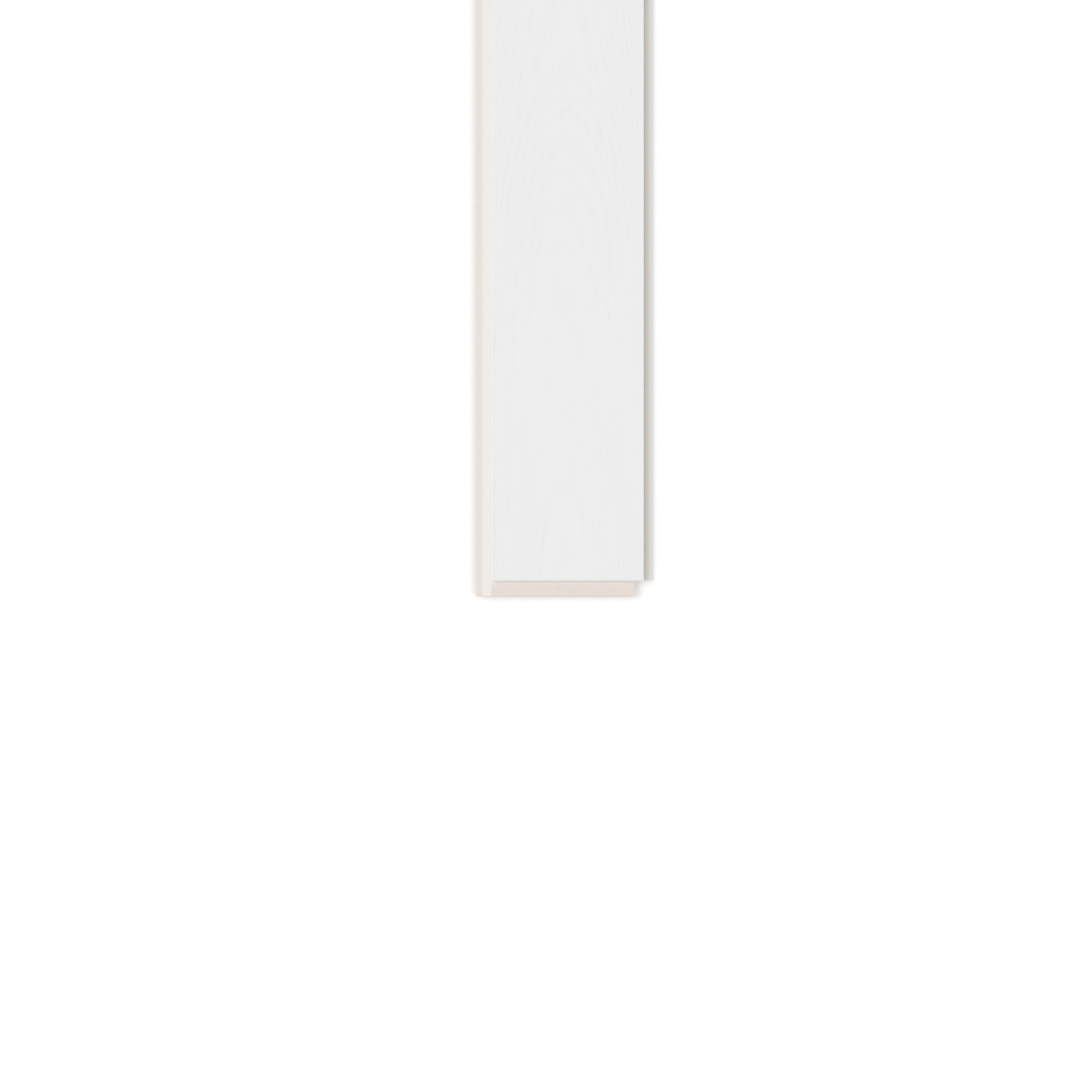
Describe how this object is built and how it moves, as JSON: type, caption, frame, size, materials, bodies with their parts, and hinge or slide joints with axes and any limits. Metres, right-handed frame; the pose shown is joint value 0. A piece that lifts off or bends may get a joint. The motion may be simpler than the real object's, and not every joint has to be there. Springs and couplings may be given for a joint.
{
  "type": "tongue and groove board",
  "caption": "Flat white coated wall board with tongue and groove edges and ends and a coved joint line, for lining walls and ceilings.",
  "frame": {"origin": "middle of the bounding box, on the plane of the board's back", "axes": "+Z out of the face, +Y along the board towards its grooved end, +X across it towards its grooved edge"},
  "size_m": [0.171, 1.315, 0.012],
  "materials": {
    "white_coat": "satin"
  },
  "bodies": {
    "root": {"board": "white_coat"}
  },
  "joints": []
}
